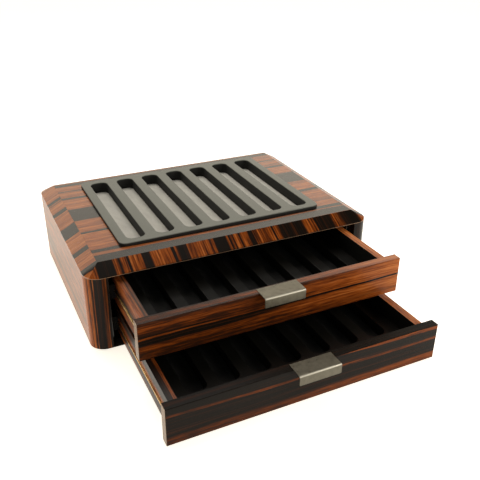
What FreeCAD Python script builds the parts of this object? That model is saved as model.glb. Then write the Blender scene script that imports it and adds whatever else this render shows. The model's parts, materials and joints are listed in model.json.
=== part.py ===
"""Pen collector chest: a veneered case with a display tray in its top and two drawers.

Millimetres. X is to the right, Y to the back and Z up. The origin is on the surface that the
chest stands on, under the middle of the case. The drawers are modelled standing open.
"""
import FreeCAD
import Part
import math
import os

Vector = FreeCAD.Vector

# Case, outside
case_width = 364.0
case_depth = 277.0
case_height = 103.5             # from the surface it stands on to the flat of the top
corner_radius = 18.0            # upright corners; the bevel reaches in as far over the top
bevel_drop = 9.7
lip_height = 1.6                # upright edge below the bevel

# Case, boards
post_width = 23.0               # corner posts, along X
post_depth = 22.0               # corner posts, along Y
wall_thick = 12.0
back_thick = 10.0
base_thick = 2.2
base_front_gap = 0.8            # behind the closed lower front
tongue_thick = 4.0              # on the ends of the walls, let into the posts
tongue_reach = 5.0
groove_slack = 0.1
felt_thick = 1.2
felt_inset = 1.5

# Display tray in the top
tray_side_margin = 10.95        # from the outermost wells to the plate's edge
tray_end_margin = 9.7           # from the ends of the wells to the plate's edge
tray_corner_radius = 8.0
tray_stand = 3.6                # how far the plate stands above the top
tray_shift = 3.2                # the tray sits this far behind the middle of the case
tray_gap = 0.3                  # round the plate, in its opening
tray_floor_thick = 2.4
tray_floor_flange = 10.0        # how far the floor board reaches under the top
lining_thick = 0.6
plate_edge_round = 0.8

# Wells for pens, the same in the tray and in the drawers, as many as the drawers hold
well_width = 22.9
well_land = 13.3                # between two wells, and at least as much outside the last
well_length = 182.0
well_corner_radius = 8.0
well_edge_ease = 0.5

# Drawers
upper_open = 94.8               # how far each drawer stands open
lower_open = 168.1
drawer_travel = 190.0           # from closed to its stop
front_thick = 10.6
front_side_gap = 3.0
front_top_gap = 1.7
front_between_gap = 1.7
front_floor_gap = 1.6
front_edge_round = 0.9
front_overhang = 8.3            # how far the front stands out past each side
side_thick = 9.4
side_set_down = 5.2             # top of the sides below the top of the front
box_back_thick = 9.4
box_back_set_down = 4.0         # top of the drawer's back below the top of its sides
box_rear_gap = 10.5             # behind the closed drawer
box_floor_gap = 0.6             # under the lower drawer
housing_depth = 3.0             # how far the drawer's boards are let into each other
bottom_thick = 2.6
bottom_raise = 1.2
insert_thick = 13.0
insert_gap = 0.3

# Runner strips on the drawers, and the guides that they slide in
strip_height = 18.0             # middle of the strip above the underside of the drawer's side
strip_thick = 1.5
strip_let_in = 3.0
strip_stand = 1.5
strip_play = 0.3                # above and below the strip, in its groove
strip_end_play = 0.5
side_play = 0.5                 # between the drawer's side and the guide
guide_height = 18.0

# Black stiles inside the front of the case, which the closed fronts meet
stile_width = 4.4
stile_depth = 4.0
stile_edge_round = 1.2
stile_gap = 0.4                 # behind the closed fronts

# Stops at full opening
stop_play = 0.3
stop_rail_depth = 12.0
stop_rail_thick = 3.4
stop_rail_gap = 0.8             # over the sides of the drawer
stop_bite = 2.5
stop_block_width = 40.0
stop_block_thick = 6.0
stop_block_drop = 20.0

# Pulls
pull_width = 48.0
pull_sheet = 1.5
pull_proud = 0.5                # top of the pull above the top of the front
pull_reach = 12.4               # forward of the front
pull_hold = 8.8                 # over the front
pull_lip = 11.4
pull_bend_radius = 2.2
pull_corner_radius = 1.2
peg_radius = 1.5
peg_length = 7.0
peg_slack = 0.05
peg_spread = 15.0

# Steel pins that hold the guides
pin_radius = 1.2
pin_length = 16.0
pin_slack = 0.05
pin_sunk = 0.3                  # below the face of the guide
pin_spread = 80.0
pin_raise = 5.0                 # above the middle of the guide

# Levels and planes that the pieces share
half_width = case_width / 2
half_depth = case_depth / 2
front_y = -half_depth
base_top = felt_thick + base_thick
ceiling = case_height - bevel_drop - lip_height
opening_half = half_width - post_width
back_inner_y = half_depth - back_thick
front_height = (ceiling - front_top_gap - front_between_gap - front_floor_gap) / 2
front_half = opening_half - front_side_gap
front_back_y = front_y + front_thick
box_half = front_half - front_overhang
box_inner_half = box_half - side_thick
box_rear_y = back_inner_y - box_rear_gap
box_inner_rear_y = box_rear_y - box_back_thick
guide_inner = box_half + side_play
stile_front_y = front_back_y + stile_gap
guide_front_y = stile_front_y + stile_depth
well_pitch = well_width + well_land
well_count = int((2 * box_inner_half - well_land) / well_pitch)
wells_across = (well_count - 1) * well_pitch + well_width
tray_width = wells_across + 2 * tray_side_margin
tray_depth = well_length + 2 * tray_end_margin
tray_bottom = ceiling + lining_thick
tray_top = case_height + tray_stand
tray_floor_bottom = ceiling - tray_floor_thick
stop_rail_back_y = box_rear_y - drawer_travel - stop_play


class DrawerPlace:
    """The heights of one drawer, and how far it stands open."""

    def __init__(self, name, front_bottom, box_bottom, opened):
        self.name = name
        self.front_bottom = front_bottom
        self.front_top = front_bottom + front_height
        self.box_bottom = box_bottom
        self.side_top = self.front_top - side_set_down
        self.strip_z = box_bottom + strip_height
        self.board_bottom = box_bottom + bottom_raise
        self.board_top = self.board_bottom + bottom_thick
        self.insert_bottom = self.board_top + lining_thick
        self.stop_rail_bottom = self.side_top + stop_rail_gap
        self.opened = opened


lower_bottom = front_floor_gap
upper_bottom = front_floor_gap + front_height + front_between_gap
lower_drawer = DrawerPlace("lower", lower_bottom, base_top + box_floor_gap, lower_open)
upper_drawer = DrawerPlace("upper", upper_bottom, upper_bottom, upper_open)
drawers = [upper_drawer, lower_drawer]
sides = [("left", -1), ("right", 1)]


def block(x0, x1, y0, y1, z0, z1):
    """A box between two values on each axis, given in either order."""
    low = Vector(min(x0, x1), min(y0, y1), min(z0, z1))
    return Part.makeBox(abs(x1 - x0), abs(y1 - y0), abs(z1 - z0), low)


def rounded_outline(width, depth, radius, centre_y, z):
    """A rectangle with rounded corners, as one wire."""
    x, y = width / 2, depth / 2
    diagonal = radius * (1 - math.sqrt(0.5))
    corners = [(1, -1), (1, 1), (-1, 1), (-1, -1)]
    edges = []
    ends = []
    for i, (sx, sy) in enumerate(corners):
        along_x = Vector(sx * (x - radius), centre_y + sy * y, z)
        along_y = Vector(sx * x, centre_y + sy * (y - radius), z)
        middle = Vector(sx * (x - diagonal), centre_y + sy * (y - diagonal), z)
        start, end = (along_x, along_y) if i % 2 == 0 else (along_y, along_x)
        ends.append((start, middle, end))
    for i, (start, middle, end) in enumerate(ends):
        edges.append(Part.Arc(start, middle, end).toShape())
        edges.append(Part.makeLine(end, ends[(i + 1) % len(ends)][0]))
    return Part.Wire(edges)


def rounded_slab(width, depth, radius, centre_y, z0, z1):
    face = Part.Face(rounded_outline(width, depth, radius, centre_y, z0))
    return face.extrude(Vector(0, 0, z1 - z0))


def cylinder(radius, length, start, direction):
    return Part.makeCylinder(radius, length, start, direction)


def level_edges(shape, z):
    """The edges of a shape that lie flat at one height."""
    return [e for e in shape.Edges
            if abs(e.BoundBox.ZMin - z) < 1e-4 and abs(e.BoundBox.ZMax - z) < 1e-4]


# Case

def bevel_rail(half_length, half_across, turn):
    """One side of the bevelled frame round the top, from mitre to mitre.

    Its section runs along the side and half way round each corner, where the bevel becomes
    a cone with its point on the flat of the top. It is drawn at the front and then turned.
    """
    reach = half_length - corner_radius
    outer, inner = -half_across, corner_radius - half_across
    section = [Vector(-reach, y, z) for y, z in
               ((outer, ceiling), (outer, ceiling + lip_height),
                (inner, case_height), (inner, ceiling))]
    face = Part.Face(Part.makePolygon(section + section[:1]))
    corners = []
    for sx in (-1, 1):
        end = face.translated(Vector(reach + sx * reach, 0, 0))
        corners.append(end.revolve(Vector(sx * reach, inner, 0), Vector(0, 0, 1), sx * 45))
    rail = face.extrude(Vector(2 * reach, 0, 0)).fuse(corners).removeSplitter()
    return rail.rotated(Vector(0, 0, 0), Vector(0, 0, 1), turn)


def top_panel():
    x = half_width - corner_radius
    y = half_depth - corner_radius
    panel = block(-x, x, -y, y, ceiling, case_height)
    opening = rounded_slab(tray_width + 2 * tray_gap, tray_depth + 2 * tray_gap,
                           tray_corner_radius + tray_gap, tray_shift,
                           ceiling - 1, case_height + 1)
    return panel.cut(opening)


def wall_tongue(sx, sy, slack=0.0):
    """The tongue on one end of a side wall, or its groove in the post."""
    middle = sx * (half_width - wall_thick / 2)
    half = tongue_thick / 2 + slack
    shoulder = sy * (half_depth - post_depth)
    return block(middle - half, middle + half, shoulder, shoulder + sy * (tongue_reach + slack),
                 felt_thick, ceiling)


def back_tongue(sx, slack=0.0):
    """The tongue on one end of the back wall, or its groove in the post."""
    middle = half_depth - back_thick / 2
    half = tongue_thick / 2 + slack
    return block(sx * opening_half, sx * (opening_half + tongue_reach + slack),
                 middle - half, middle + half, felt_thick, ceiling)


def corner_post(sx, sy):
    stock = block(sx * opening_half, sx * half_width,
                  sy * (half_depth - post_depth), sy * half_depth, felt_thick, ceiling)
    rounded = rounded_slab(case_width, case_depth, corner_radius, 0, felt_thick, ceiling)
    post = stock.common(rounded).cut(wall_tongue(sx, sy, groove_slack))
    if sy > 0:
        post = post.cut(back_tongue(sx, groove_slack))
    return post


def side_wall(sx):
    shoulder = half_depth - post_depth
    wall = block(sx * (half_width - wall_thick), sx * half_width,
                 -shoulder, shoulder, felt_thick, ceiling)
    return wall.fuse([wall_tongue(sx, -1), wall_tongue(sx, 1)]).removeSplitter()


def back_wall():
    wall = block(-opening_half, opening_half, back_inner_y, half_depth, felt_thick, ceiling)
    return wall.fuse([back_tongue(-1), back_tongue(1)]).removeSplitter()


def base_board():
    """The thin board that closes the case below, notched round the posts."""
    board = block(wall_thick - half_width, half_width - wall_thick,
                  front_back_y + base_front_gap, back_inner_y, felt_thick, base_top)
    notches = [block(sx * opening_half, sx * half_width, sy * (half_depth - post_depth),
                     sy * half_depth, felt_thick - 1, base_top + 1)
               for sx in (-1, 1) for sy in (-1, 1)]
    return board.cut(notches)


def base_felt():
    return rounded_slab(case_width - 2 * felt_inset, case_depth - 2 * felt_inset,
                        corner_radius - felt_inset, 0, 0, felt_thick)


def guide_pins(drawer, sx, slack=0.0):
    """The pins of one guide, or with some slack their holes, which are open at the guide's face."""
    sunk = -1.0 if slack else pin_sunk
    start_x = sx * (guide_inner + sunk)
    length = pin_length + (pin_sunk - sunk) + slack
    return [cylinder(pin_radius + slack, length, Vector(start_x, y, drawer.strip_z + pin_raise),
                     Vector(sx, 0, 0))
            for y in (-pin_spread, pin_spread)]


def side_liner(sx):
    """The board inside each wall that carries the guides."""
    y = half_depth - post_depth
    liner = block(sx * opening_half, sx * (half_width - wall_thick), -y, y, base_top, ceiling)
    for drawer in drawers:
        liner = liner.cut(guide_pins(drawer, sx, pin_slack))
    return liner


def guide(drawer, sx):
    """A batten with a groove along it, in which the drawer's runner strip slides."""
    low = drawer.strip_z - guide_height / 2
    batten = block(sx * guide_inner, sx * opening_half, guide_front_y, back_inner_y,
                   low, low + guide_height)
    half_groove = strip_thick / 2 + strip_play
    groove = block(sx * (guide_inner - 1), sx * (box_half + strip_stand + strip_end_play),
                   guide_front_y - 1, back_inner_y + 1,
                   drawer.strip_z - half_groove, drawer.strip_z + half_groove)
    return batten.cut([groove] + guide_pins(drawer, sx, pin_slack))


def guide_pin_group(drawer):
    return Part.makeCompound([pin for _, sx in sides for pin in guide_pins(drawer, sx)])


def front_stile(sx):
    """The black upright beside the opening, with its edge towards the drawers rounded."""
    inner = opening_half - stile_width
    stile = block(sx * inner, sx * opening_half, stile_front_y, stile_front_y + stile_depth,
                  base_top, ceiling)
    edge = [e for e in stile.Edges if abs(e.BoundBox.Center.x - sx * inner) < 1e-4
            and abs(e.BoundBox.YMax - stile_front_y) < 1e-4 and e.BoundBox.ZLength > stile_depth]
    return stile.makeFillet(stile_edge_round, edge)


def stop_rail(drawer):
    """The rail across the case that the drawer's stop block meets at full opening."""
    low = drawer.stop_rail_bottom
    high = tray_floor_bottom if drawer is upper_drawer else low + stop_rail_thick
    return block(-opening_half, opening_half, stop_rail_back_y - stop_rail_depth,
                 stop_rail_back_y, low, high)


# Display tray

def well_centres():
    first = -well_pitch * (well_count - 1) / 2
    return [first + well_pitch * i for i in range(well_count)]


def welled_plate(plate, centre_y, z0, z1):
    """Cuts the row of wells through a plate."""
    cutters = []
    for x in well_centres():
        cutter = rounded_slab(well_width, well_length, well_corner_radius, centre_y,
                              z0 - 1, z1 + 1)
        cutter.translate(Vector(x, 0, 0))
        cutters.append(cutter)
    return plate.cut(cutters)


def tray_plate():
    """The plate of the display tray, with its outer edge rounded and its wells' mouths eased."""
    slab = rounded_slab(tray_width, tray_depth, tray_corner_radius, tray_shift,
                        tray_bottom, tray_top)
    slab = slab.makeFillet(plate_edge_round, level_edges(slab, tray_top))
    plate = welled_plate(slab, tray_shift, tray_bottom, tray_top)
    mouths = [e for e in level_edges(plate, tray_top)
              if abs(e.BoundBox.Center.x) < wells_across / 2 + 0.01
              and abs(e.BoundBox.Center.y - tray_shift) < well_length / 2 + 0.01]
    return plate.makeChamfer(well_edge_ease, mouths)


def tray_lining():
    return rounded_slab(tray_width, tray_depth, tray_corner_radius, tray_shift,
                        ceiling, tray_bottom)


def tray_floor():
    """The board under the tray, glued to the underside of the top panel all round."""
    grow = 2 * tray_floor_flange
    return rounded_slab(tray_width + grow, tray_depth + grow, tray_corner_radius, tray_shift,
                        tray_floor_bottom, ceiling)


# Drawers, drawn closed

def board_outline(drawer):
    """The drawer's bottom, which is let into the front, the sides and the back."""
    x = box_inner_half + housing_depth
    return block(-x, x, front_back_y - housing_depth, box_inner_rear_y + housing_depth,
                 drawer.board_bottom, drawer.board_top)


def side_stock(drawer, sx):
    return block(sx * box_inner_half, sx * box_half, front_back_y - housing_depth, box_rear_y,
                 drawer.box_bottom, drawer.side_top)


def back_stock(drawer):
    x = box_inner_half + housing_depth
    return block(-x, x, box_inner_rear_y, box_rear_y, drawer.box_bottom,
                 drawer.side_top - box_back_set_down)


def strip_stock(drawer, sx):
    return block(sx * (box_half - strip_let_in), sx * (box_half + strip_stand),
                 front_back_y, box_rear_y,
                 drawer.strip_z - strip_thick / 2, drawer.strip_z + strip_thick / 2)


def peg_places(z):
    y = front_y + pull_hold / 2
    return [Vector(sx * peg_spread, y, z) for sx in (-1, 1)]


def drawer_front(drawer):
    """The front, with its face edges eased, housings for the sides and a seat for the pull."""
    panel = block(-front_half, front_half, front_y, front_back_y,
                  drawer.front_bottom, drawer.front_top)
    face_edges = [e for e in panel.Edges if abs(e.BoundBox.YMax - front_y) < 1e-4]
    panel = panel.makeFillet(front_edge_round, face_edges)
    seat_depth = pull_sheet - pull_proud
    seat = block(-pull_width / 2, pull_width / 2, front_y - 1, front_y + pull_hold,
                 drawer.front_top - seat_depth, drawer.front_top + 1)
    peg_holes = [cylinder(peg_radius + peg_slack, peg_length + peg_slack, place, Vector(0, 0, -1))
                 for place in peg_places(drawer.front_top - seat_depth)]
    housings = [side_stock(drawer, -1), side_stock(drawer, 1), board_outline(drawer)]
    return panel.cut([seat] + peg_holes + housings)


def drawer_side(drawer, sx):
    return side_stock(drawer, sx).cut(
        [back_stock(drawer), board_outline(drawer), strip_stock(drawer, sx)])


def stop_block(drawer):
    """The block glued on the drawer's back, which meets the stop rail at full opening."""
    half = stop_block_width / 2
    return block(-half, half, box_rear_y, box_rear_y + stop_block_thick,
                 drawer.side_top - stop_block_drop, drawer.stop_rail_bottom + stop_bite)


def drawer_back(drawer):
    return back_stock(drawer).cut(board_outline(drawer))


def insert_slab(drawer, z0, z1):
    x = box_inner_half - insert_gap
    return block(-x, x, front_back_y + insert_gap, box_inner_rear_y - insert_gap, z0, z1)


def drawer_insert(drawer):
    z0 = drawer.insert_bottom
    z1 = z0 + insert_thick
    middle = (front_back_y + box_inner_rear_y) / 2
    return welled_plate(insert_slab(drawer, z0, z1), middle, z0, z1)


def pull(drawer):
    """A tab of bent sheet on the top edge of the front, with its lip turned down."""
    top = drawer.front_top + pull_proud
    low = top - pull_lip
    back = front_y + pull_hold
    nose = front_y - pull_reach
    half = pull_width / 2
    stock = block(-half, half, nose, back, low, top)
    bend = [e for e in level_edges(stock, top) if abs(e.BoundBox.YMax - nose) < 1e-4]
    stock = stock.makeFillet(pull_bend_radius, bend)
    lip_corners = [e for e in level_edges(stock, low) if e.BoundBox.XLength < 1e-4]
    stock = stock.makeFillet(pull_corner_radius, lip_corners)
    hollow = block(-half - 1, half + 1, nose + pull_sheet, back + 1, low - 1, top - pull_sheet)
    inner = [e for e in level_edges(hollow, top - pull_sheet)
             if abs(e.BoundBox.YMax - (nose + pull_sheet)) < 1e-4]
    hollow = hollow.makeFillet(pull_bend_radius - pull_sheet, inner)
    pegs = [cylinder(peg_radius, peg_length, place, Vector(0, 0, -1))
            for place in peg_places(top - pull_sheet)]
    return stock.cut(hollow).fuse(pegs).removeSplitter()


# The whole chest

def case_nodes():
    nodes = {
        "top_panel": top_panel(),
        "bevel_rail_front": bevel_rail(half_width, half_depth, 0),
        "bevel_rail_right": bevel_rail(half_depth, half_width, 90),
        "bevel_rail_back": bevel_rail(half_width, half_depth, 180),
        "bevel_rail_left": bevel_rail(half_depth, half_width, 270),
    }
    for name, sx in sides:
        nodes["corner_post_front_" + name] = corner_post(sx, -1)
        nodes["corner_post_back_" + name] = corner_post(sx, 1)
        nodes["side_wall_" + name] = side_wall(sx)
        nodes["side_liner_" + name] = side_liner(sx)
        nodes["front_stile_" + name] = front_stile(sx)
    nodes["back_wall"] = back_wall()
    nodes["base_board"] = base_board()
    nodes["base_felt"] = base_felt()
    for drawer in drawers:
        for name, sx in sides:
            nodes["guide_%s_%s" % (drawer.name, name)] = guide(drawer, sx)
        nodes["guide_pins_" + drawer.name] = guide_pin_group(drawer)
        nodes["stop_rail_" + drawer.name] = stop_rail(drawer)
    nodes["tray_plate"] = tray_plate()
    nodes["tray_lining"] = tray_lining()
    nodes["tray_floor"] = tray_floor()
    return nodes


def drawer_nodes(drawer):
    pieces = {
        "front": drawer_front(drawer),
        "side_left": drawer_side(drawer, -1),
        "side_right": drawer_side(drawer, 1),
        "back": drawer_back(drawer),
        "bottom": board_outline(drawer),
        "lining": insert_slab(drawer, drawer.board_top, drawer.insert_bottom),
        "insert": drawer_insert(drawer),
        "strip_left": strip_stock(drawer, -1),
        "strip_right": strip_stock(drawer, 1),
        "pull": pull(drawer),
        "stop_block": stop_block(drawer),
    }
    nodes = {}
    for name, shape in pieces.items():
        shape.translate(Vector(0, -drawer.opened, 0))
        nodes["%s_drawer_%s" % (drawer.name, name)] = shape
    return nodes


def main():
    os.makedirs("parts", exist_ok=True)
    nodes = case_nodes()
    for drawer in drawers:
        nodes.update(drawer_nodes(drawer))
    for name, shape in nodes.items():
        shape.exportStep(os.path.join("parts", name + ".step"))


main()
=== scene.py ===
"""Pen collector chest: veneer, lacquer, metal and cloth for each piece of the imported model."""
import json
import math

import bmesh
import bpy
from mathutils import Matrix, Vector

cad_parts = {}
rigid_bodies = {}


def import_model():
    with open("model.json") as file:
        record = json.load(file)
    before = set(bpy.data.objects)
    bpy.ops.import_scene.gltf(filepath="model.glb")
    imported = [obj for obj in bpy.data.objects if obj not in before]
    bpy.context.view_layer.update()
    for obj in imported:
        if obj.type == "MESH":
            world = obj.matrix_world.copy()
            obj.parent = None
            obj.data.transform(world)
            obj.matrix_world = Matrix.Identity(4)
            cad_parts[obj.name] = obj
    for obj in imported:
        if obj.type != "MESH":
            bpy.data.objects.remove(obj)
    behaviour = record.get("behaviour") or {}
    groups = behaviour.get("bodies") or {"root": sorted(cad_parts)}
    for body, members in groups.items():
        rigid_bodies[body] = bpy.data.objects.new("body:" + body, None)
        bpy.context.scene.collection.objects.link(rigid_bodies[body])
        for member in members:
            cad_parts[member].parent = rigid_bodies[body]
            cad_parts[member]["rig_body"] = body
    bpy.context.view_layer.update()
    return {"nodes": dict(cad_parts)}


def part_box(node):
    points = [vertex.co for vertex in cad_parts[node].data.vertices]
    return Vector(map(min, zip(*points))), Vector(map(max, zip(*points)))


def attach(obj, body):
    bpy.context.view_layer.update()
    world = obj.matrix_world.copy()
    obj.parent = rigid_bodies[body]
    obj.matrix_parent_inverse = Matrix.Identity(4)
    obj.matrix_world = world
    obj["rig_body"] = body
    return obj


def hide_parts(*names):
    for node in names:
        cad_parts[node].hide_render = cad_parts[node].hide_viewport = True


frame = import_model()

mm = 0.001
sides = ("left", "right")
drawers = ("upper_drawer", "lower_drawer")

# Wells, the same in the tray and in the drawers
well_count = 7
well_pitch = 36.2 * mm
well_width = 22.9 * mm
well_length = 182.0 * mm
well_corner = 8.0 * mm
tray_corner = 8.0 * mm
felt_corner = 16.5 * mm

# Pulls
pull_sheet = 1.5 * mm
pull_bend = 1.45 * mm            # at the middle of the sheet
pull_corner = 1.2 * mm
pull_lip = 11.4 * mm             # from the top of the pull to the foot of its lip
pull_hold = 8.8 * mm             # how deep the pull sits on the front
pull_edge_ease = 0.25 * mm
peg_radius = 1.5 * mm
peg_length = 7.5 * mm
peg_root = 0.5 * mm              # how far a peg reaches into the sheet
peg_spread = 15.0 * mm

# Eased edges
top_ease = 0.12 * mm
case_ease = 0.15 * mm
front_ease = 0.2 * mm
drawer_ease = 0.25 * mm
strip_ease = 0.15 * mm
tray_rim_round = 0.8 * mm
insert_rim_round = 0.4 * mm
mouth_ease = 0.5 * mm
shortest_eased = 6 * mm          # shorter edges stay sharp

# Cloths
cloth_cell = 3 * mm
nap_length = 9 * mm
nap_relief = 0.15 * mm
felt_relief = 0.1 * mm

# Steps and tolerances
corner_steps = 12                # faces round a corner
near = 0.01 * mm                 # how closely a test on a place has to be met
merge_gap = 0.001 * mm           # points closer than this are merged
cutter_room = 2 * mm             # how far a cutter stands out of the board
pattern_room = 1 * mm            # and a cloth's pattern out of the cloth
mouth_margin = 0.1 * mm          # round the row of wells, to find their edges
flat = math.radians(0.5)         # faces that turn by less are merged
straight = math.radians(30)      # edges that turn by less are part of a curve
crease = math.radians(40)        # edges of the pull that turn by more are eased


# Modelling

def only(*objects):
    """Selects these objects and nothing else, and makes the last one active."""
    bpy.ops.object.select_all(action="DESELECT")
    for item in objects:
        item.select_set(True)
    bpy.context.view_layer.objects.active = objects[-1]


def start_edit(piece):
    only(piece)
    bpy.ops.object.mode_set(mode="EDIT")
    bpy.ops.mesh.select_mode(type="EDGE")


def end_edit():
    bpy.ops.object.mode_set(mode="OBJECT")


def pick_edges(piece, test):
    """In edit mode, selects the edges that pass a test and nothing else."""
    bpy.ops.mesh.select_all(action="DESELECT")
    shape = bmesh.from_edit_mesh(piece.data)
    for edge in shape.edges:
        if test(edge):
            edge.select_set(True)
    bmesh.update_edit_mesh(piece.data)


def middle_of(edge):
    return (edge.verts[0].co + edge.verts[1].co) / 2


def run_of(edge):
    return edge.verts[1].co - edge.verts[0].co


def is_upright(edge):
    run = run_of(edge)
    return abs(run.z) > 0.99 * run.length      # within about 8 degrees


def is_level_at(edge, z):
    return all(abs(v.co.z - z) < near for v in edge.verts)


def is_sharp(edge):
    return len(edge.link_faces) == 2 and edge.calc_face_angle(0.0) > straight


def block(name, low, high):
    """A box between two corners, with its place in its mesh."""
    bpy.ops.object.select_all(action="DESELECT")
    bpy.ops.mesh.primitive_cube_add(size=1, location=(low + high) / 2, scale=high - low)
    piece = bpy.context.object
    piece.name = piece.data.name = name
    bpy.ops.object.transform_apply(location=True, rotation=True, scale=True)
    return piece


def apply_modifier(piece, kind, **settings):
    only(piece)
    modifier = piece.modifiers.new(kind.lower(), kind)
    for name, value in settings.items():
        setattr(modifier, name, value)
    bpy.ops.object.modifier_apply(modifier=modifier.name)


def smooth(piece):
    """Shades curves smooth and keeps the broad faces beside an eased edge flat."""
    only(piece)
    bpy.ops.object.shade_smooth_by_angle(angle=straight)
    apply_modifier(piece, "WEIGHTED_NORMAL", mode="FACE_AREA", weight=100, keep_sharp=True)


def round_uprights(piece, radius):
    start_edit(piece)
    pick_edges(piece, is_upright)
    bpy.ops.mesh.bevel(offset=radius, segments=corner_steps, affect="EDGES")
    end_edit()


def dress(piece, node, finish):
    """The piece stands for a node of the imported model, rides with it and gets its finish."""
    piece.data.materials.clear()
    piece.data.materials.append(finish)
    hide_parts(node)
    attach(piece, frame["nodes"][node]["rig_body"])


def eased_board(node, finish, ease):
    """A board with its long sharp edges eased, as sanding and lacquer leave them."""
    piece = bpy.data.objects.new("eased_" + node, frame["nodes"][node].data.copy())
    bpy.context.scene.collection.objects.link(piece)
    piece.data.name = piece.name
    start_edit(piece)
    bpy.ops.mesh.select_all(action="SELECT")
    bpy.ops.mesh.customdata_custom_splitnormals_clear()
    bpy.ops.mesh.remove_doubles(threshold=merge_gap)
    bpy.ops.mesh.dissolve_limited(angle_limit=flat)
    pick_edges(piece, lambda e: is_sharp(e) and e.calc_length() > shortest_eased)
    bpy.ops.mesh.bevel(offset=ease, segments=2, affect="EDGES", clamp_overlap=True)
    end_edit()
    smooth(piece)
    dress(piece, node, finish)


def welled_board(node, finish, corner, rim_round):
    """A plate with a row of wells through it, its top edge rounded and the mouths eased."""
    low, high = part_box(node)
    plate = block("shaped_" + node, low, high)
    if corner:
        round_uprights(plate, corner)
    centre = (low + high) / 2
    reach = Vector((well_width / 2, well_length / 2, (high.z - low.z) / 2 + cutter_room))
    first = Vector((-well_pitch * (well_count - 1) / 2, centre.y, centre.z))
    cutter = block("well_cutter", first - reach, first + reach)
    round_uprights(cutter, well_corner)
    copies = [cutter]
    for i in range(1, well_count):
        only(cutter)
        bpy.ops.object.duplicate()
        bpy.ops.transform.translate(value=(well_pitch * i, 0, 0))
        copies.append(bpy.context.object)
    only(*reversed(copies))
    bpy.ops.object.join()
    bpy.ops.object.transform_apply(location=True, rotation=True, scale=True)
    apply_modifier(plate, "BOOLEAN", operation="DIFFERENCE", solver="EXACT", object=cutter)
    bpy.data.objects.remove(cutter)

    half_row = -first.x + well_width / 2 + mouth_margin
    half_well = well_length / 2 + mouth_margin

    def at_mouth(edge):
        m = middle_of(edge)
        return (is_level_at(edge, high.z) and is_sharp(edge)
                and abs(m.x) < half_row and abs(m.y - centre.y) < half_well)

    def at_rim(edge):
        return is_level_at(edge, high.z) and is_sharp(edge) and not at_mouth(edge)

    start_edit(plate)
    pick_edges(plate, at_mouth)
    bpy.ops.mesh.bevel(offset=mouth_ease, segments=2, affect="EDGES")
    pick_edges(plate, at_rim)
    bpy.ops.mesh.bevel(offset=rim_round, segments=4, affect="EDGES")
    end_edit()
    smooth(plate)
    dress(plate, node, finish)


def laid_cloth(node, finish, corner, relief):
    """A cloth laid flat and glued, with the slight unevenness of its nap on the upper face."""
    low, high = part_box(node)
    size = high - low
    bpy.ops.object.select_all(action="DESELECT")
    bpy.ops.mesh.primitive_grid_add(
        size=1, x_subdivisions=round(size.x / cloth_cell),
        y_subdivisions=round(size.y / cloth_cell),
        location=((low.x + high.x) / 2, (low.y + high.y) / 2, high.z))
    cloth = bpy.context.object
    cloth.name = cloth.data.name = "laid_" + node
    cloth.scale = (size.x, size.y, 1)
    bpy.ops.object.transform_apply(location=True, rotation=True, scale=True)
    nap = bpy.data.textures.new(node + "_nap", "CLOUDS")
    nap.noise_scale = nap_length
    apply_modifier(cloth, "DISPLACE", texture=nap, direction="Z", mid_level=1.0,
                   strength=relief, texture_coords="LOCAL")
    apply_modifier(cloth, "SOLIDIFY", thickness=size.z - relief, offset=-1)
    if corner:
        room = Vector((0, 0, pattern_room))
        pattern = block("cloth_pattern", low - room, high + room)
        round_uprights(pattern, corner)
        apply_modifier(cloth, "BOOLEAN", operation="INTERSECT", solver="EXACT", object=pattern)
        bpy.data.objects.remove(pattern)
    smooth(cloth)
    dress(cloth, node, finish)


# Shader nodes

class Wire:
    """A socket in a material's node tree. Arithmetic on it adds Math nodes."""

    def __init__(self, tree, socket=None):
        self.tree = tree
        self.socket = socket

    def node(self, kind, settings=None, inputs=None, output=0):
        """Adds a node, with its settings first and then the values or links of its sockets."""
        made = self.tree.nodes.new("ShaderNode" + kind)
        for name, value in (settings or {}).items():
            if name == "stops":
                set_stops(made.color_ramp.elements, value)
            else:
                setattr(made, name, value)
        for place, value in (inputs or {}).items():
            if isinstance(value, Wire):
                self.tree.links.new(value.socket, made.inputs[place])
            else:
                made.inputs[place].default_value = value
        return Wire(self.tree, made.outputs[output])

    def other(self, output):
        """Another output of the same node."""
        return Wire(self.tree, self.socket.node.outputs[output])

    def math(self, operation, *values):
        return self.node("Math", {"operation": operation}, dict(enumerate(values)))

    def __add__(self, other):
        return self.math("ADD", self, other)

    def __sub__(self, other):
        return self.math("SUBTRACT", self, other)

    def __rsub__(self, other):
        return self.math("SUBTRACT", other, self)

    def __mul__(self, other):
        return self.math("MULTIPLY", self, other)

    def __truediv__(self, other):
        return self.math("DIVIDE", self, other)

    def __rtruediv__(self, other):
        return self.math("DIVIDE", other, self)

    def __abs__(self):
        return self.math("ABSOLUTE", self)

    __radd__ = __add__
    __rmul__ = __mul__


def set_stops(elements, stops):
    while len(elements) < len(stops):
        elements.new(0.5)
    for element, (place, colour) in zip(elements, stops):
        element.position = place
        element.color = colour


def rgb(red, green, blue):
    return (red, green, blue, 1.0)


def ease_step(value, low, high):
    """0 below low, 1 above high, and smooth between."""
    return value.node("MapRange", {"interpolation_type": "SMOOTHSTEP"},
                      {"Value": value, "From Min": low, "From Max": high})


def mixed(factor, first, second):
    return factor.node("Mix", {"data_type": "RGBA"}, {0: factor, 6: first, 7: second}, output=2)


def ramp(value, stops):
    return value.node("ValToRGB", {"stops": stops}, {0: value})


def bump(height, strength, distance):
    return height.node("Bump", None,
                       {"Strength": strength, "Distance": distance, "Height": height})


def places(start):
    """Object coordinates in millimetres, one wire for each axis."""
    coords = start.node("TexCoord", output="Object")
    x = coords.node("SeparateXYZ", None, {0: coords})
    return [axis * (1 / mm) for axis in (x, x.other(1), x.other(2))]


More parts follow.
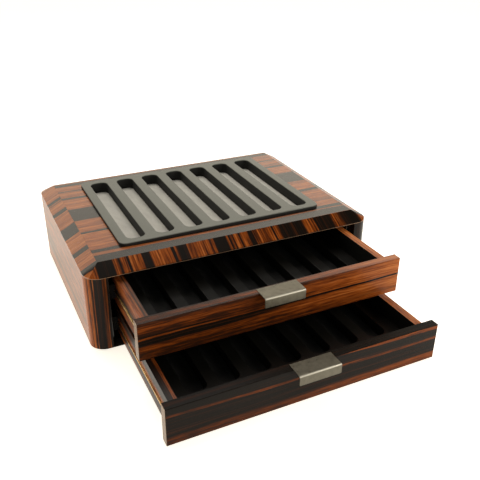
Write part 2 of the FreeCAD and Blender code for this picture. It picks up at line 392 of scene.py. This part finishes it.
def noise(first, second, third, lengths, detail):
    """Noise whose forms have these lengths in millimetres along the three wires."""
    vector = first.node("CombineXYZ", None, {
        i: wire / length for i, (wire, length) in enumerate(zip((first, second, third), lengths))})
    return first.node("TexNoise", {"noise_dimensions": "3D"},
                      {"Vector": vector, "Scale": 1.0, "Detail": detail})


def material(name, constants, paint):
    """Constants go on the shader's own sockets; paint gives a wire for each that varies."""
    made = bpy.data.materials.new(name)
    made.use_nodes = True
    tree = made.node_tree
    shader = tree.nodes["Principled BSDF"]
    for socket, value in constants.items():
        shader.inputs[socket].default_value = value
    for socket, wire in paint(Wire(tree)).items():
        tree.links.new(wire.socket, shader.inputs[socket])
    return made


# Veneer

pale_orange = rgb(0.47, 0.145, 0.032)
orange = rgb(0.27, 0.062, 0.009)
brown = rgb(0.115, 0.025, 0.004)
dark_brown = rgb(0.030, 0.0105, 0.005)
black = rgb(0.0080, 0.0058, 0.0042)
inside_black = rgb(0.005, 0.005, 0.004)
# Painted highlight: the pale line at the foot of the bevels.
lip_highlight_colour = rgb(0.34, 0.22, 0.14)
front_end = rgb(0.25, 0.165, 0.105)
# Painted reflection: the pale tan laid over the side walls.
wall_sheen_colour = rgb(0.34, 0.23, 0.115)
# Painted highlight: the pale colour laid along the pulls' bends.
bend_highlight_colour = rgb(0.85, 0.80, 0.68)
polish_coat = 0.45

# Forms of the figure: their lengths in millimetres along, across and through the grain, and
# the detail of their noise
wander_form = (190, 60, 60), 1.0
ripple_form = (45, 9, 9), 1.0
broad_form = (900, 21, 21), 1.0
band_form = (500, 5.0, 5.0), 2.0
line_form = (200, 1.3, 1.3), 2.0
fleck_form = (18, 1.9, 1.9), 3.0
pore_form = (5.0, 0.32, 0.32), 1.0
wander_reach, ripple_reach = 5.0, 1.6        # in millimetres across the grain
figure_from, figure_to = -0.09, 0.13         # where the ground turns into a dark streak
pore_from, pore_to = 0.64, 0.74
leaf_apart = 100.0               # how far apart the leaves lie in the noise

# Each leaf's direction of grain: which wires run along it, across it and through it
grains = {
    "along_x": lambda x, y, z: (x, y, z),
    "along_x_flat": lambda x, y, z: (x, y, z * 0.0),
    "along_y_flat": lambda x, y, z: (y, x, z * 0.0),
    "along_x_upright": lambda x, y, z: (x, z, y),
    "along_y_upright": lambda x, y, z: (y, z, x),
    "upright": lambda x, y, z: (z, abs(x) - abs(y), x + y),
}

# A streak is full out to its core and has ended at its edge, both as shares of half its
# width. The blur, in millimetres, comes on top of the edge.
streak_core, streak_edge, streak_blur = 0.6, 1.3, 0.8
fade_length = 90                 # in millimetres, of a streak that fades out


def streak_bias(along, across, streaks):
    """How much darker or lighter than the ground the leaf's main streaks make it.

    A streak has its middle and half its width in millimetres, its strength, how far it
    drifts across the leaf for each millimetre along, and where along the leaf it fades out.
    """
    bias = 0
    for middle, half, strength, *more in streaks:
        if more:
            distance = abs(across - (along * more[0] + middle))
        else:
            distance = abs(across - middle)
        mask = ease_step(distance, half * streak_edge + streak_blur,
                         half * streak_core) * strength
        if len(more) > 1:
            mask = mask * ease_step(along, more[1] + fade_length, more[1])
        bias = bias + mask
    return bias


def veneer(name, grain, seed, darkness, streaks=(), chance=1.0, contrast=1.0, tone=None,
           shade=None, specular=0.5, roughness=0.24, polish=None, over=()):
    """Striped ebony: black and brown streaks over an orange ground, in satin lacquer.

    seed picks the leaf and darkness how much of it is black. chance is how much of the figure
    is left to noise and contrast how striped the ground is. From x, y and z in millimetres,
    tone gives how much paler the ground is, shade how much darker the figure and polish how
    thick the lacquer. Each pair in over is a colour that covers the veneer and where it does.
    """
    def paint(start):
        place = places(start)
        along, across, through = grains[grain](*place)
        through = through + seed * leaf_apart
        wander = noise(along, across, through, *wander_form)
        ripple = noise(along, across, through, *ripple_form)
        across = across + (wander - 0.5) * wander_reach + (ripple - 0.5) * ripple_reach
        broad = noise(along, across, through, *broad_form)
        bands = noise(along, across, through, *band_form)
        lines = noise(along, across, through, *line_form)
        flecks = noise(along, across, through, *fleck_form)
        pores = noise(along, across, through, *pore_form)
        figure = (((broad - 0.5) * 1.5 + (bands - 0.5) * 1.2) * chance
                  + (lines - 0.5) * 0.35 + darkness + streak_bias(along, across, streaks))
        if shade:
            figure = figure + shade(*place)
        dark = ease_step(figure, figure_from, figure_to)
        pore = ease_step(pores, pore_from, pore_to)
        pale = (((bands - 0.5) * 1.3 + (lines - 0.5) + (flecks - 0.5) * 1.2) * contrast
                + 0.5 - pore * 0.2)
        if tone:
            pale = pale + tone(*place)
        ground = ramp(pale, [(0.02, dark_brown), (0.22, brown), (0.50, orange),
                             (0.85, pale_orange)])
        night = ramp((lines - 0.5) * 2.2 + (bands - 0.5) + 0.5, [
            (0.58, black), (1.0, dark_brown)])
        relief = (1 - pore) * 0.7 + lines * 0.3
        colour = mixed(dark, ground, night)
        for cover, where in over:
            colour = mixed(where(*place), colour, cover)
        wires = {
            "Base Color": colour,
            "Roughness": roughness + (bands - 0.5) * 0.10 + pore * 0.12,
            "Normal": bump(relief, 0.12, 0.05 * mm),
        }
        if polish:
            wires["Coat Weight"] = polish(*place) * polish_coat
        return wires

    return material(name, {"Specular IOR Level": specular, "Coat Roughness": 0.2}, paint)


top_streaks = [
    (-97, 3.2, 0.5, -0.01), (-113, 6.1, 0.55), (-41, 2.0, 0.5, 0.02), (10, 15, 0.55),
    (62, 2.2, 0.45, -0.02), (87, 1.2, 0.3, -0.02), (111, 3, 0.4), (-80, 5, -0.3),
    (-56, 10, -0.4), (-25, 9, -0.4), (43, 11, -0.35), (77, 6, -0.35), (99, 6, -0.3)]
side_bevel_streaks = [
    (-121, 5, 0.55), (-80, 4, 0.5), (-23, 12, 0.55), (36, 4, 0.5), (74, 2.5, 0.35),
    (-99, 4, -0.4), (-66, 5, -0.4), (-46, 7, -0.3), (15, 11, -0.45), (54, 7, -0.4),
    (96, 14, -0.4)]
front_bevel_streaks = [
    (-158.5, 9, 0.6), (-141, 1.0, 0.3), (-131, 1.1, 0.3), (-110.5, 4.2, 0.55),
    (-79.5, 1.5, 0.45), (-68.2, 5.8, 0.55), (-20, 7.0, 0.5), (-8.5, 1.0, 0.35),
    (-4, 0.8, 0.3), (4.5, 1.2, 0.3), (19, 2.6, 0.5), (49, 0.9, 0.35), (74, 17, 0.5),
    (76, 2, -0.3), (118.5, 12.5, 0.5), (158, 10, 0.5), (-126, 3, -0.25), (-95, 6, -0.3),
    (-45, 9, -0.3), (33, 5, -0.3), (44, 1.8, -0.25), (103, 3, -0.15), (142, 7, 0.18)]
post_streaks = [
    (20, 1.2, 0.4), (26, 3.5, 0.2), (33, 4.3, 0.55), (40.5, 0.8, 0.25), (43, 1.0, 0.2),
    (49, 0.9, 0.4), (57, 6, -0.4), (45.5, 1.5, -0.3)]
upper_front_streaks = [
    (70.2, 0.9, 0.5, 0.008), (66.8, 1.5, 0.3, 0.004, -20), (73.4, 0.9, 0.4, -0.004, -110),
    (65.4, 1.4, 0.4, 0.006, -90), (51.6, 2.0, 0.17, 0.022)]
lower_front_streaks = [
    (5.0, 6.5, -0.31, 0.002), (32.3, 1.3, -0.42, -0.021), (47.6, 1.6, -0.6, -0.036)]

# Places on the pieces, in millimetres
drawer_inside_x = 138.6
upper_front_top_z = 90.3
front_end_x = 155.8
lower_front_top_z = 45.0
upper_front_inside_y = -222.9
lower_front_inside_y = -296.2
lip_line_z = 92.7
tray_face_z = 106.4
blend = 0.1                      # half the width over which one finish turns into another
soft_blend = 0.15


def inside_of_sides(x, y, z):
    return ease_step(abs(x), drawer_inside_x + soft_blend, drawer_inside_x - soft_blend)


def front_ends(x, y, z):
    return ease_step(abs(x), front_end_x - blend, front_end_x + blend)


def top_of_upper_front(x, y, z):
    return ease_step(z, upper_front_top_z - blend, upper_front_top_z + blend)


def top_of_lower_front(x, y, z):
    return ease_step(z, lower_front_top_z - blend, lower_front_top_z + blend)


def behind(front_y):
    return lambda x, y, z: ease_step(y, front_y - blend, front_y + blend)


def right_half(x, y, z):
    return ease_step(x, -10, 10)


def foot_of_bevel(x, y, z):
    return ease_step(z, lip_line_z + soft_blend, lip_line_z - soft_blend)


# Painted highlight: a pale line round the foot of the bevels, where the lip's edge catches the
# light.
painted_lip_highlight = [(lip_highlight_colour, foot_of_bevel)]
veneers = {
    "top_veneer": veneer(
        "striped_ebony_top", "along_x", seed=1, darkness=-0.06, streaks=top_streaks,
        chance=0.45, contrast=0.75, tone=lambda x, y, z: x * -0.0002 + 0.05),
    "bevel_veneer_front": veneer(
        "striped_ebony_front_bevel", "along_y_flat", seed=2, darkness=-0.16,
        streaks=front_bevel_streaks, chance=0.25, contrast=1.0,
        tone=lambda x, y, z: x * -0.0006 - 0.16, specular=0.03, over=painted_lip_highlight),
    "bevel_veneer_side": veneer(
        "striped_ebony_side_bevel", "along_x_flat", seed=3, darkness=-0.08,
        streaks=side_bevel_streaks, chance=0.4, contrast=0.8,
        tone=lambda x, y, z: y * -0.0002 + 0.14, over=painted_lip_highlight),
    "bevel_veneer_right": veneer(
        "striped_ebony_right_bevel", "along_x_flat", seed=3, darkness=-0.08,
        streaks=side_bevel_streaks, chance=0.4, contrast=0.8, specular=0.03,
        over=painted_lip_highlight),
    "post_veneer": veneer(
        "striped_ebony_posts", "upright", seed=4, darkness=-0.16, streaks=post_streaks,
        chance=0.4, contrast=1.0, tone=lambda x, y, z: x * -0.0006,
        shade=lambda x, y, z: right_half(x, y, z) * 0.3, specular=0.10),
    "wall_veneer": veneer(
        "striped_ebony_walls", "along_y_upright", seed=5, darkness=-0.14, chance=0.8,
        contrast=1.2, tone=lambda x, y, z: y * 0.0002 + 0.01, specular=0.4, roughness=0.34,
        # Painted reflection: a pale tan over the walls, stronger towards the back, stands in for
        # the sheen they reflect.
        over=[(wall_sheen_colour, lambda x, y, z: y * 0.0003 + 0.17)]),
    "back_veneer": veneer("striped_ebony_back", "along_x_upright", seed=6, darkness=-0.02),
    # The ground is paler to the right, partly the leaf's own tone and partly painted light from
    # the right; the top face's figure is darker to the left.
    "upper_front_veneer": veneer(
        "striped_ebony_upper_front", "along_x_upright", seed=7, darkness=-0.24,
        streaks=upper_front_streaks, chance=0.4, contrast=0.7,
        tone=lambda x, y, z: x * (x * 0.000008 + 0.00195) - 0.28,
        shade=lambda x, y, z: top_of_upper_front(x, y, z) * (x * -0.0009 + 0.12),
        specular=0.1, polish=top_of_upper_front,
        over=[(inside_black, behind(upper_front_inside_y)), (front_end, front_ends)]),
    # The ground is paler to the right, partly the leaf's own tone and partly painted light from
    # the right; the top face's figure is darker as painted shade under the upper drawer.
    "lower_front_veneer": veneer(
        "striped_ebony_lower_front", "along_x_upright", seed=8, darkness=0.24,
        streaks=lower_front_streaks, chance=0.3, contrast=0.6,
        tone=lambda x, y, z: x * 0.0007 - 0.34,
        shade=lambda x, y, z: top_of_lower_front(x, y, z) * 0.6, specular=0.08,
        over=[(inside_black, behind(lower_front_inside_y)), (front_end, front_ends)]),
    "drawer_side_veneer": veneer(
        "striped_ebony_drawer_sides", "along_y_upright", seed=9, darkness=0.0, chance=0.8,
        contrast=1.0, tone=lambda x, y, z: x * 0.0008 + 0.10,
        shade=lambda x, y, z: x * -0.0008 - 0.08, specular=0.3, roughness=0.42,
        over=[(inside_black, inside_of_sides)]),
    "drawer_back_veneer": veneer(
        "striped_ebony_drawer_backs", "along_x_upright", seed=10, darkness=-0.02),
}


# Lacquer, metal and cloth

spray_edge = 0.5                 # in millimetres, over which the top coat ends
undercoat_dullness = 0.4
shaded_tint, lit_tint = 0.7, 1.3             # the range of a lacquer's colour
dull_patina, bright_patina = 0.88, 1.10      # and of a metal's


def satin_lacquer(name, colour, roughness, specular=0.5, face_z=None):
    """Sprayed lacquer with a faint orange peel and slightly polished high spots.

    Below face_z, in millimetres, the piece has only its black undercoat.
    """
    def paint(start):
        x, y, z = places(start)
        peel = noise(x, y, z, (1.1, 1.1, 1.1), 2.0)
        cloud = noise(x, y, z, (60, 60, 60), 2.0)
        grain = noise(x, y, z, (2.4, 2.4, 2.4), 3.0)
        tint = mixed(cloud * 0.5 + grain * 0.5, rgb(*[c * shaded_tint for c in colour]),
                     rgb(*[c * lit_tint for c in colour]))
        dullness = roughness + (cloud - 0.5) * 0.10 + (peel - 0.5) * 0.06
        if face_z:
            face = ease_step(z, face_z - spray_edge, face_z)
            tint = mixed(face, inside_black, tint)
            dullness = dullness + (1 - face) * undercoat_dullness
        return {
            "Base Color": tint,
            "Roughness": dullness,
            "Normal": bump(peel, 0.10, 0.03 * mm),
        }
    return material(name, {"Specular IOR Level": specular}, paint)


def stained_board():
    """Thin plywood stained black, with its grain just visible."""
    def paint(start):
        x, y, z = places(start)
        fibre = noise(y, x, z, (40, 1.2, 1.2), 2.0)
        return {
            "Base Color": mixed(fibre, rgb(0.002, 0.002, 0.002), rgb(0.007, 0.006, 0.005)),
            "Roughness": 0.60 + (fibre - 0.5) * 0.2,
            "Normal": bump(fibre, 0.2, 0.05 * mm),
        }
    return material("black_stained_board", {"Specular IOR Level": 0.10}, paint)


def brushed_metal(name, colour, roughness, along, metallic=1.0, highlight=None):
    """Metal with fine brushed lines and a slightly uneven patina.

    From x, y and z, highlight gives where a highlight is painted pale into the colour.
    """
    def paint(start):
        x, y, z = places(start)
        first, second, third = (x, y, z) if along == "x" else (y, x, z)
        lines = noise(first, second, third, (30, 0.35, 0.35), 2.0)
        patina = ease_step(noise(x, y, z, (5, 5, 5), 5.0), 0.3, 0.7)
        tint = mixed(patina, rgb(*[c * dull_patina for c in colour]),
                     rgb(*[min(1.0, c * bright_patina) for c in colour]))
        # Painted highlight: a pale colour mixed in where highlight says, along the brushed lines.
        if highlight:
            tint = mixed(highlight(x, y, z) * (0.4 + lines * 0.4), tint, bend_highlight_colour)
        return {
            "Base Color": tint,
            "Roughness": roughness + (lines - 0.5) * 0.16 + (patina - 0.5) * 0.10,
            "Normal": bump(lines, 0.10, 0.02 * mm),
        }
    return material(name, {"Metallic": metallic}, paint)


# Where the painted highlight along each pull's bend begins and ends.
bend_highlight_from, bend_highlight_to = 1.1, 2.0      # in millimetres from the bend's corner


def highlight_along_the_bends(x, y, z):
    """1 along the outside of each pull's bend, where a highlight is painted."""
    shine = 0
    for drawer in drawers:
        low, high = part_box(drawer + "_pull")
        away = abs(y - low.y / mm) + abs(z - high.z / mm)
        shine = shine + ease_step(away, bend_highlight_to, bend_highlight_from)
    return shine


def napped_cloth(name, dark, light, mottle, sheen):
    """Suede, flock or felt: a short nap that lies unevenly, by as much as mottle says."""
    def paint(start):
        x, y, z = places(start)
        fibres = noise(x, y, z, (0.35, 0.35, 0.35), 3.0)
        strokes = noise(x + y * 0.3, y, z, (7, 16, 16), 2.0)
        mix_by = (fibres - 0.5) * 0.9 + (strokes - 0.5) * mottle + 0.5
        return {
            "Base Color": mixed(ease_step(mix_by, 0.1, 0.9), dark, light),
            "Normal": bump(fibres, 0.5, 0.12 * mm),
        }
    return material(name, {"Roughness": 0.95, "Specular IOR Level": 0.2, "Sheen Weight": sheen,
                           "Sheen Roughness": 0.5}, paint)


tray_lacquer = satin_lacquer("anthracite_lacquer", (0.110, 0.116, 0.097), roughness=0.36,
                             face_z=tray_face_z)
insert_lacquer = satin_lacquer("black_lacquer", (0.006, 0.0055, 0.0045), roughness=0.35,
                               specular=0.22)
stile_lacquer = satin_lacquer("glossy_black_lacquer", (0.006, 0.006, 0.005), roughness=0.16)
black_board = stained_board()
pull_metals = {
    "upper_drawer": brushed_metal("gunmetal_upper", (0.168, 0.152, 0.114), roughness=0.34,
                                  along="x", metallic=0.8, highlight=highlight_along_the_bends),
    # The lower pull is a darker copy of the upper one: painted shade, as it sits under the upper
    # drawer.
    "lower_drawer": brushed_metal("gunmetal_lower_shaded", (0.120, 0.108, 0.081), roughness=0.34,
                                  along="x", metallic=0.8, highlight=highlight_along_the_bends)}
runner_brass = brushed_metal("drawn_brass", (0.80, 0.53, 0.22), roughness=0.40, along="y")
pin_steel = brushed_metal("pin_steel", (0.50, 0.50, 0.50), roughness=0.32, along="x")
tray_suede = napped_cloth("greige_suede", rgb(0.57, 0.55, 0.49), rgb(0.75, 0.73, 0.65),
                          mottle=0.6, sheen=0.4)
drawer_flock = napped_cloth("black_flock", rgb(0.006, 0.006, 0.006), rgb(0.020, 0.019, 0.018),
                            mottle=0.8, sheen=0.1)
base_felt = napped_cloth("black_felt", rgb(0.008, 0.008, 0.008), rgb(0.030, 0.029, 0.028),
                         mottle=0.8, sheen=0.2)


# Pieces of the case

eased_board("top_panel", veneers["top_veneer"], top_ease)
for place in ("front", "back"):
    eased_board("bevel_rail_" + place, veneers["bevel_veneer_front"],
                top_ease)
    for side in sides:
        eased_board("corner_post_%s_%s" % (place, side), veneers["post_veneer"],
                    case_ease)
eased_board("bevel_rail_left", veneers["bevel_veneer_side"], top_ease)
eased_board("bevel_rail_right", veneers["bevel_veneer_right"], top_ease)
for side in sides:
    eased_board("side_wall_" + side, veneers["wall_veneer"], case_ease)
eased_board("back_wall", veneers["back_veneer"], case_ease)

welled_board("tray_plate", tray_lacquer, tray_corner, tray_rim_round)
laid_cloth("tray_lining", tray_suede, tray_corner, nap_relief)
laid_cloth("base_felt", base_felt, felt_corner, felt_relief)

black_nodes = ["base_board", "tray_floor", "stop_rail_upper", "stop_rail_lower"]
for side in sides:
    black_nodes += ["side_liner_" + side, "guide_upper_" + side, "guide_lower_" + side]
plain_nodes = [(node, black_board) for node in black_nodes]
plain_nodes += [("front_stile_" + side, stile_lacquer) for side in sides]
plain_nodes += [("guide_pins_upper", pin_steel), ("guide_pins_lower", pin_steel)]


# Pieces of the drawers

def bent_pull(node, finish):
    """A tab of sheet metal bent down over the front, on two pegs."""
    low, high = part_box(node)
    half = pull_sheet / 2
    back = high.y
    bpy.ops.object.select_all(action="DESELECT")
    bpy.ops.mesh.primitive_plane_add(
        size=1, location=(0, (low.y + half + back) / 2, high.z - half))
    sheet = bpy.context.object
    sheet.name = sheet.data.name = "bent_" + node
    sheet.scale = (high.x - low.x, back - low.y - half, 1)
    bpy.ops.object.transform_apply(location=True, rotation=True, scale=True)
    nose = low.y + half
    lip_low = high.z - pull_lip

    def at_nose(edge):
        return all(abs(v.co.y - nose) < near for v in edge.verts)

    start_edit(sheet)
    pick_edges(sheet, at_nose)
    bpy.ops.mesh.extrude_region_move(
        TRANSFORM_OT_translate={"value": (0, 0, lip_low - (high.z - half))})
    pick_edges(sheet, lambda e: at_nose(e) and is_level_at(e, high.z - half))
    bpy.ops.mesh.bevel(offset=pull_bend, segments=8, affect="EDGES")
    bpy.ops.mesh.select_all(action="DESELECT")
    shape = bmesh.from_edit_mesh(sheet.data)
    for vertex in shape.verts:
        if abs(vertex.co.z - lip_low) < near:
            vertex.select_set(True)
    bmesh.update_edit_mesh(sheet.data)
    bpy.ops.mesh.bevel(offset=pull_corner, segments=4, affect="VERTICES")
    bpy.ops.mesh.select_all(action="SELECT")
    bpy.ops.mesh.normals_make_consistent(inside=False)
    end_edit()
    apply_modifier(sheet, "SOLIDIFY", thickness=pull_sheet, offset=0, use_even_offset=True)
    apply_modifier(sheet, "BEVEL", width=pull_edge_ease, segments=2, limit_method="ANGLE",
                   angle_limit=crease, use_clamp_overlap=True)
    pegs = []
    for sx in (-1, 1):
        bpy.ops.object.select_all(action="DESELECT")
        bpy.ops.mesh.primitive_cylinder_add(
            vertices=16, radius=peg_radius, depth=peg_length,
            location=(sx * peg_spread, back - pull_hold / 2,
                      high.z - pull_sheet + peg_root - peg_length / 2))
        bpy.ops.object.transform_apply(location=True, rotation=True, scale=True)
        pegs.append(bpy.context.object)
    only(*pegs, sheet)
    bpy.ops.object.join()
    smooth(sheet)
    dress(sheet, node, finish)


for drawer in drawers:
    front_slot = drawer.replace("_drawer", "_front_veneer")
    eased_board(drawer + "_front", veneers[front_slot], front_ease)
    for side in sides:
        eased_board(drawer + "_side_" + side,
                    veneers["drawer_side_veneer"], drawer_ease)
        eased_board(drawer + "_strip_" + side, runner_brass, strip_ease)
    eased_board(drawer + "_back", veneers["drawer_back_veneer"],
                drawer_ease)
    welled_board(drawer + "_insert", insert_lacquer, 0, insert_rim_round)
    laid_cloth(drawer + "_lining", drawer_flock, 0, nap_relief)
    bent_pull(drawer + "_pull", pull_metals[drawer])
    plain_nodes += [(drawer + "_bottom", black_board), (drawer + "_stop_block", black_board)]

for name, finish in plain_nodes:
    frame["nodes"][name].material_slots[0].material = finish


# Floor, lights and camera

floor_size = 30                  # in metres
floor_light = rgb(1.0, 0.95, 0.83)
floor_glow = 0.88                # strength of the light that the floor gives
front_edge, backdrop_edge = -0.1, 0.5        # of a direction's y, with a ramp between
ceiling_edge = 0.52              # sine of the elevation where the backdrop ends
ceiling_blur = 0.07


def floor_paint(start):
    x, y, z = places(start)
    haze = noise(x, y, z, (700, 700, 700), 1.0)
    return {"Base Color": mixed(haze, rgb(0.86, 0.86, 0.86), rgb(0.89, 0.89, 0.89))}


bpy.ops.object.select_all(action="DESELECT")
bpy.ops.mesh.primitive_plane_add(size=floor_size, location=(0, 0, 0))
floor = bpy.context.object
floor.name = "floor"
floor.data.materials.append(material("white_floor", {
    "Roughness": 0.8, "Specular IOR Level": 0.1, "Emission Color": floor_light,
    "Emission Strength": floor_glow}, floor_paint))

world = bpy.data.worlds.new("studio")
bpy.context.scene.world = world
world.use_nodes = True


def glow_at(azimuth, elevation):
    """The direction of a glow, its azimuth in degrees from straight back towards the right."""
    a, e = math.radians(azimuth), math.radians(elevation)
    return (math.sin(a) * math.cos(e), math.cos(a) * math.cos(e), math.sin(e))


def studio_sky(start, backdrop, front, ceiling, glows):
    """A pale warm backdrop that ends at a dark ceiling, and a dimmer room in front.

    A glow on the backdrop has its direction, the cosine at which it begins and its strength.
    """
    towards = start.node("TexCoord", output="Generated")
    apart = towards.node("SeparateXYZ", None, {0: towards})
    strength = (ease_step(apart.other(1), front_edge, backdrop_edge) * (backdrop - front)
                + front)
    for direction, edge, glow in glows:
        facing = towards.node("VectorMath", {"operation": "DOT_PRODUCT"},
                              {0: towards, 1: direction}, output="Value")
        strength = strength + ease_step(facing, edge, 1.0) * glow
    below = ease_step(apart.other(2), ceiling_edge + ceiling_blur, ceiling_edge - ceiling_blur)
    strength = below * (strength - ceiling) + ceiling
    warmth = ease_step(strength, front, backdrop)
    return mixed(warmth, rgb(1.0, 0.96, 0.88), rgb(1.0, 0.92, 0.77)), strength


sky_colour, sky_strength = studio_sky(
    Wire(world.node_tree), backdrop=1.4, front=0.4, ceiling=0.1,
    glows=[(glow_at(azimuth=42, elevation=20), 0.92, 0.4)])
background = world.node_tree.nodes["Background"]
world.node_tree.links.new(sky_colour.socket, background.inputs["Color"])
world.node_tree.links.new(sky_strength.socket, background.inputs["Strength"])


def softbox(name, place, aim, side, power, colour):
    """A square lamp that faces aim, with its side in metres and its power in watts."""
    light = bpy.data.lights.new(name, "AREA")
    light.color = colour
    light.shape = "SQUARE"
    light.size = side
    light.energy = power
    lamp = bpy.data.objects.new(name, light)
    bpy.context.scene.collection.objects.link(lamp)
    lamp.location = place
    lamp.rotation_euler = (Vector(aim) - Vector(place)).to_track_quat("-Z", "Y").to_euler()


softbox("overhead_softbox", (0.0, 0.45, 1.5), (0, 0, 0.05), side=1.2, power=14.0,
        colour=(1, 0.96, 0.9))
softbox("key_softbox", (0.75, -0.87, 0.53), (0.14, -0.25, 0.05), side=0.8, power=6.2,
        colour=(1, 0.95, 0.86))

camera = bpy.data.cameras.new("camera")
camera.lens = 47.07
camera.sensor_width = 36
view = bpy.data.objects.new("camera", camera)
bpy.context.scene.collection.objects.link(view)
camera_place = (-0.2818, -0.7194, 0.4354)
turn, pitch, roll = 0.4494, -0.4749, 0.0064      # in radians: to the right, up and over
view.matrix_world = (Matrix.Translation(camera_place)
                     @ Matrix.Rotation(-turn, 4, "Z")
                     @ Matrix.Rotation(math.pi / 2 + pitch, 4, "X")
                     @ Matrix.Rotation(roll, 4, "Z"))
bpy.context.scene.camera = view
bpy.context.scene.view_settings.view_transform = "Standard"
